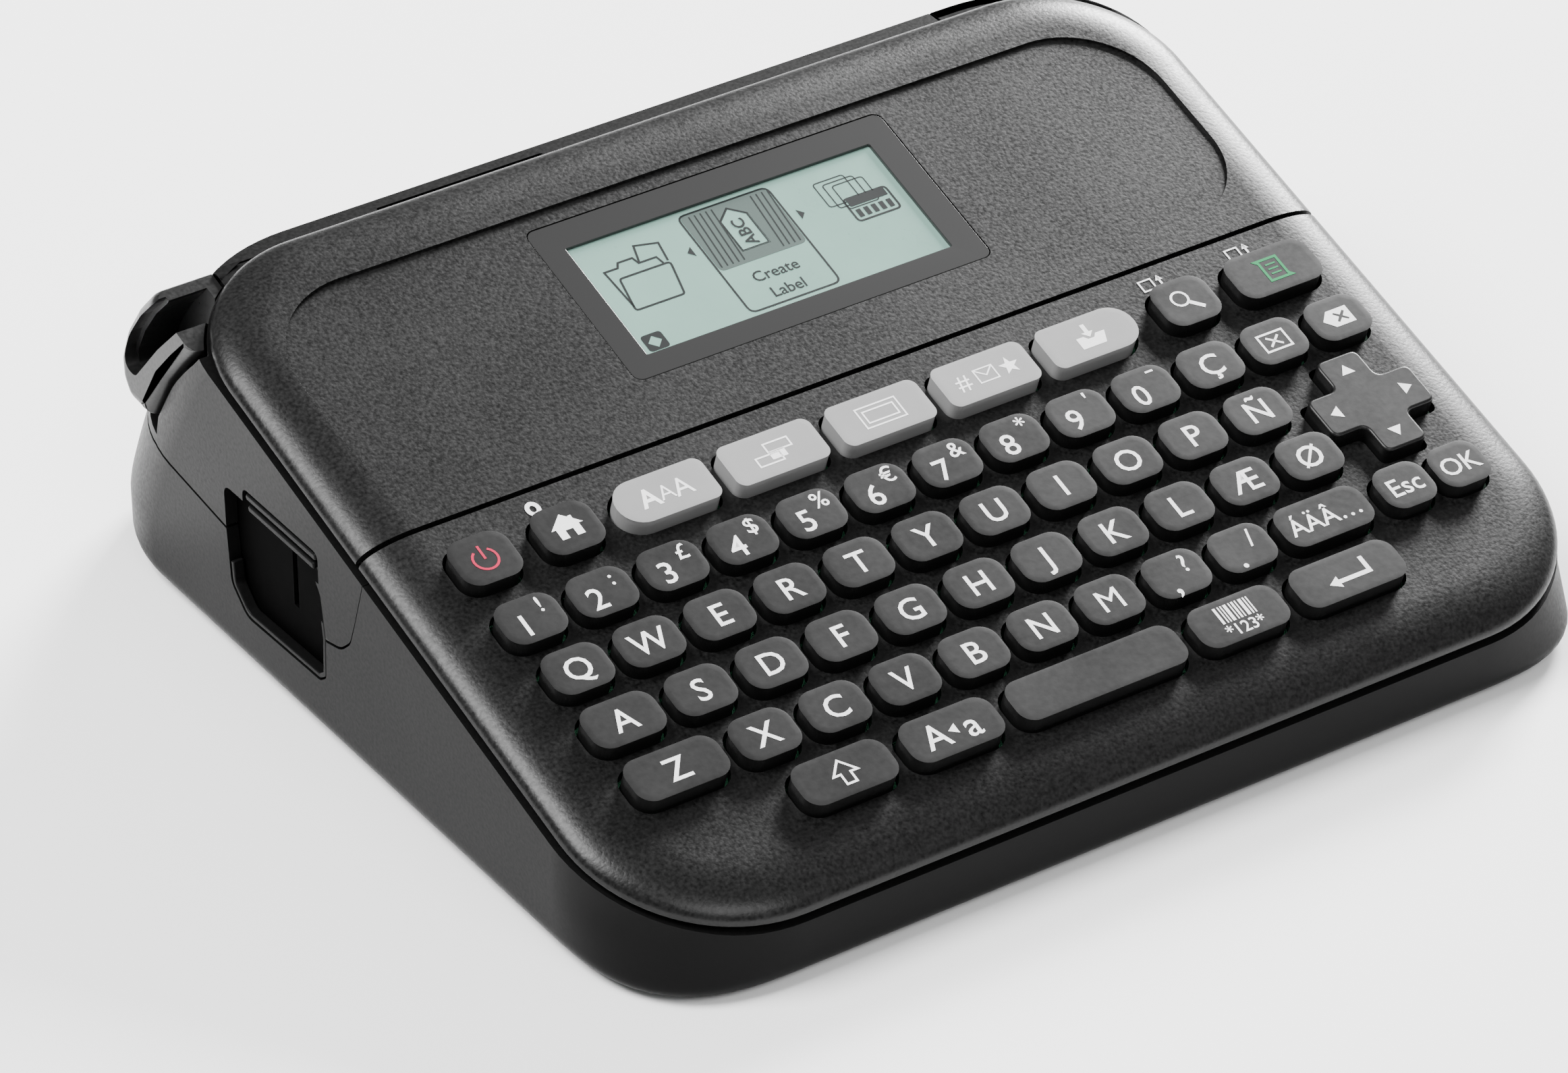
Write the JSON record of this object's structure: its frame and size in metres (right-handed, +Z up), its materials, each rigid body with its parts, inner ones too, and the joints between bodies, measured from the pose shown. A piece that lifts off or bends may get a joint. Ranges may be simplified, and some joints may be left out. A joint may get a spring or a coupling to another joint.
{
  "type": "label maker",
  "caption": "Desktop label maker: wedge-shaped case, full keyboard, backlit screen, thumb cutter lever, side tape exit and a drop-down rear cover over the tape bay.",
  "frame": {"origin": "on the surface the feet stand on, at the middle of the footprint", "axes": "+X to the user's right along the width, +Y to the back, +Z up"},
  "size_m": [0.188, 0.177, 0.0604],
  "materials": {
    "case_plastic": "satin charcoal, fine spark texture",
    "key_plastic": "smooth satin dark grey",
    "grey_key_plastic": "smooth satin light grey",
    "window_gloss": "gloss black frame around a clear window",
    "screen_glass": "reflective liquid crystal panel, pale grey-green",
    "circuit_board": "green solder mask",
    "steel": "bright",
    "heater": "matt, ceramic line on top",
    "rubber": "matt black",
    "white_plastic": "natural acetal",
    "cassette_plastic": "moulded dark grey",
    "label_tape": "laminated white tape",
    "battery_cells": "plain printed sleeve",
    "dark_plastic": "moulded black"
  },
  "bodies": {
    "case": {"base_shell": "case_plastic", "upper_frame": "case_plastic", "screen_cover": "case_plastic", "keyboard_cover": "case_plastic", "screen_window": "window_gloss", "screen_module": "screen_glass", "keypad_board": "circuit_board", "main_board": "circuit_board", "fixed_blade": "steel", "cutter_spring": "steel", "mechanism_chassis": "steel", "holder_pin": "steel", "drive_motor": "steel", "usb_socket": "steel", "print_head": "heater", "tape_cassette": "cassette_plastic", "label_tape": "label_tape", "battery_pack": "battery_cells", "power_jack": "dark_plastic", "rubber_foot_front_left": "rubber", "case_screw_front_left": "steel", "rubber_foot_back_left": "rubber", "case_screw_back_left": "steel", "rubber_foot_front_right": "rubber", "case_screw_front_right": "steel", "rubber_foot_back_right": "rubber", "case_screw_back_right": "steel"},
    "rear_door": {"rear_cover": "case_plastic"},
    "cutter": {"cutter_lever": "case_plastic", "cutter_blade": "steel"},
    "roller_arm": {"roller_holder": "white_plastic"},
    "platen": {"platen_roller": "rubber", "platen_gear": "white_plastic"},
    "idler": {"idler_gear": "white_plastic"},
    "pinion": {"motor_pinion": "white_plastic"},
    "key_power": {"key_power": "key_plastic"},
    "key_home": {"key_home": "key_plastic"},
    "key_text": {"key_text": "grey_key_plastic"},
    "key_style": {"key_style": "grey_key_plastic"},
    "key_frame": {"key_frame": "grey_key_plastic"},
    "key_symbol": {"key_symbol": "grey_key_plastic"},
    "key_file": {"key_file": "grey_key_plastic"},
    "key_search": {"key_search": "key_plastic"},
    "key_print": {"key_print": "key_plastic"},
    "key_clear": {"key_clear": "key_plastic"},
    "key_delete": {"key_delete": "key_plastic"},
    "key_cursor": {"key_cursor": "key_plastic"},
    "key_accent": {"key_accent": "key_plastic"},
    "key_escape": {"key_escape": "key_plastic"},
    "key_enter_small": {"key_enter_small": "key_plastic"},
    "key_shift": {"key_shift": "key_plastic"},
    "key_caps": {"key_caps": "key_plastic"},
    "key_space": {"key_space": "key_plastic"},
    "key_barcode": {"key_barcode": "key_plastic"},
    "key_enter": {"key_enter": "key_plastic"},
    "keys_digits": {"keys_digits": "key_plastic"},
    "keys_upper": {"keys_upper": "key_plastic"},
    "keys_home": {"keys_home": "key_plastic"},
    "keys_lower": {"keys_lower": "key_plastic"}
  },
  "joints": [
    {"name": "rear_cover_hinge", "type": "hinge", "parent": "case", "child": "rear_door", "pos_m": [0, 0.0884, 0.0122], "axis": [-1, 0, 0], "range_deg": [0, 75]},
    {"name": "cutter_press", "type": "hinge", "parent": "case", "child": "cutter", "pos_m": [-0.088, 0.038, 0.036], "axis": [-1, 0, 0], "range_deg": [0, 4], "stiffness_Nm_per_rad": 0.5, "springref_deg": -5.73},
    {"name": "roller_release", "type": "hinge", "parent": "case", "child": "roller_arm", "pos_m": [-0.064, 0.018, 0.0392], "axis": [0, 1, 0], "range_deg": [0, 4]},
    {"name": "platen_spin", "type": "hinge", "parent": "roller_arm", "child": "platen", "pos_m": [-0.08, 0.018, 0.0346], "axis": [0, 1, 0], "continuous": true},
    {"name": "idler_spin", "type": "hinge", "parent": "case", "child": "idler", "pos_m": [-0.08, 0.033, 0.0238], "axis": [0, 1, 0], "continuous": true},
    {"name": "motor_spin", "type": "hinge", "parent": "case", "child": "pinion", "pos_m": [-0.08, 0.033, 0.0142], "axis": [0, 1, 0], "continuous": true},
    {"name": "press_power", "type": "slide", "parent": "case", "child": "key_power", "axis": [0, 0.3041, -0.9526], "range_m": [0, 0.0015], "stiffness_N_per_m": 300},
    {"name": "press_home", "type": "slide", "parent": "case", "child": "key_home", "axis": [0, 0.3041, -0.9526], "range_m": [0, 0.0015], "stiffness_N_per_m": 300},
    {"name": "press_text", "type": "slide", "parent": "case", "child": "key_text", "axis": [0, 0.3041, -0.9526], "range_m": [0, 0.0015], "stiffness_N_per_m": 300},
    {"name": "press_style", "type": "slide", "parent": "case", "child": "key_style", "axis": [0, 0.3041, -0.9526], "range_m": [0, 0.0015], "stiffness_N_per_m": 300},
    {"name": "press_frame", "type": "slide", "parent": "case", "child": "key_frame", "axis": [0, 0.3041, -0.9526], "range_m": [0, 0.0015], "stiffness_N_per_m": 300},
    {"name": "press_symbol", "type": "slide", "parent": "case", "child": "key_symbol", "axis": [0, 0.3041, -0.9526], "range_m": [0, 0.0015], "stiffness_N_per_m": 300},
    {"name": "press_file", "type": "slide", "parent": "case", "child": "key_file", "axis": [0, 0.3041, -0.9526], "range_m": [0, 0.0015], "stiffness_N_per_m": 300},
    {"name": "press_search", "type": "slide", "parent": "case", "child": "key_search", "axis": [0, 0.3041, -0.9526], "range_m": [0, 0.0015], "stiffness_N_per_m": 300},
    {"name": "press_print", "type": "slide", "parent": "case", "child": "key_print", "axis": [0, 0.3041, -0.9526], "range_m": [0, 0.0015], "stiffness_N_per_m": 300},
    {"name": "press_clear", "type": "slide", "parent": "case", "child": "key_clear", "axis": [0, 0.3041, -0.9526], "range_m": [0, 0.0015], "stiffness_N_per_m": 300},
    {"name": "press_delete", "type": "slide", "parent": "case", "child": "key_delete", "axis": [0, 0.3041, -0.9526], "range_m": [0, 0.0015], "stiffness_N_per_m": 300},
    {"name": "press_cursor", "type": "slide", "parent": "case", "child": "key_cursor", "axis": [0, 0.3041, -0.9526], "range_m": [0, 0.0015], "stiffness_N_per_m": 400},
    {"name": "press_accent", "type": "slide", "parent": "case", "child": "key_accent", "axis": [0, 0.3041, -0.9526], "range_m": [0, 0.0015], "stiffness_N_per_m": 300},
    {"name": "press_escape", "type": "slide", "parent": "case", "child": "key_escape", "axis": [0, 0.3041, -0.9526], "range_m": [0, 0.0015], "stiffness_N_per_m": 300},
    {"name": "press_enter_small", "type": "slide", "parent": "case", "child": "key_enter_small", "axis": [0, 0.3041, -0.9526], "range_m": [0, 0.0015], "stiffness_N_per_m": 300},
    {"name": "press_shift", "type": "slide", "parent": "case", "child": "key_shift", "axis": [0, 0.3041, -0.9526], "range_m": [0, 0.0015], "stiffness_N_per_m": 300},
    {"name": "press_caps", "type": "slide", "parent": "case", "child": "key_caps", "axis": [0, 0.3041, -0.9526], "range_m": [0, 0.0015], "stiffness_N_per_m": 300},
    {"name": "press_space", "type": "slide", "parent": "case", "child": "key_space", "axis": [0, 0.3041, -0.9526], "range_m": [0, 0.0015], "stiffness_N_per_m": 400},
    {"name": "press_barcode", "type": "slide", "parent": "case", "child": "key_barcode", "axis": [0, 0.3041, -0.9526], "range_m": [0, 0.0015], "stiffness_N_per_m": 300},
    {"name": "press_enter", "type": "slide", "parent": "case", "child": "key_enter", "axis": [0, 0.3041, -0.9526], "range_m": [0, 0.0015], "stiffness_N_per_m": 300},
    {"name": "press_row_digits", "type": "slide", "parent": "case", "child": "keys_digits", "axis": [0, 0.3041, -0.9526], "range_m": [0, 0.0015], "stiffness_N_per_m": 800},
    {"name": "press_row_upper", "type": "slide", "parent": "case", "child": "keys_upper", "axis": [0, 0.3041, -0.9526], "range_m": [0, 0.0015], "stiffness_N_per_m": 800},
    {"name": "press_row_home", "type": "slide", "parent": "case", "child": "keys_home", "axis": [0, 0.3041, -0.9526], "range_m": [0, 0.0015], "stiffness_N_per_m": 800},
    {"name": "press_row_lower", "type": "slide", "parent": "case", "child": "keys_lower", "axis": [0, 0.3041, -0.9526], "range_m": [0, 0.0015], "stiffness_N_per_m": 800}
  ],
  "couplings": [
    {"joint": "roller_release", "follows": "rear_cover_hinge", "ratio": 0.0533},
    {"joint": "idler_spin", "follows": "platen_spin", "ratio": -0.8},
    {"joint": "motor_spin", "follows": "platen_spin", "ratio": 1.3333}
  ]
}
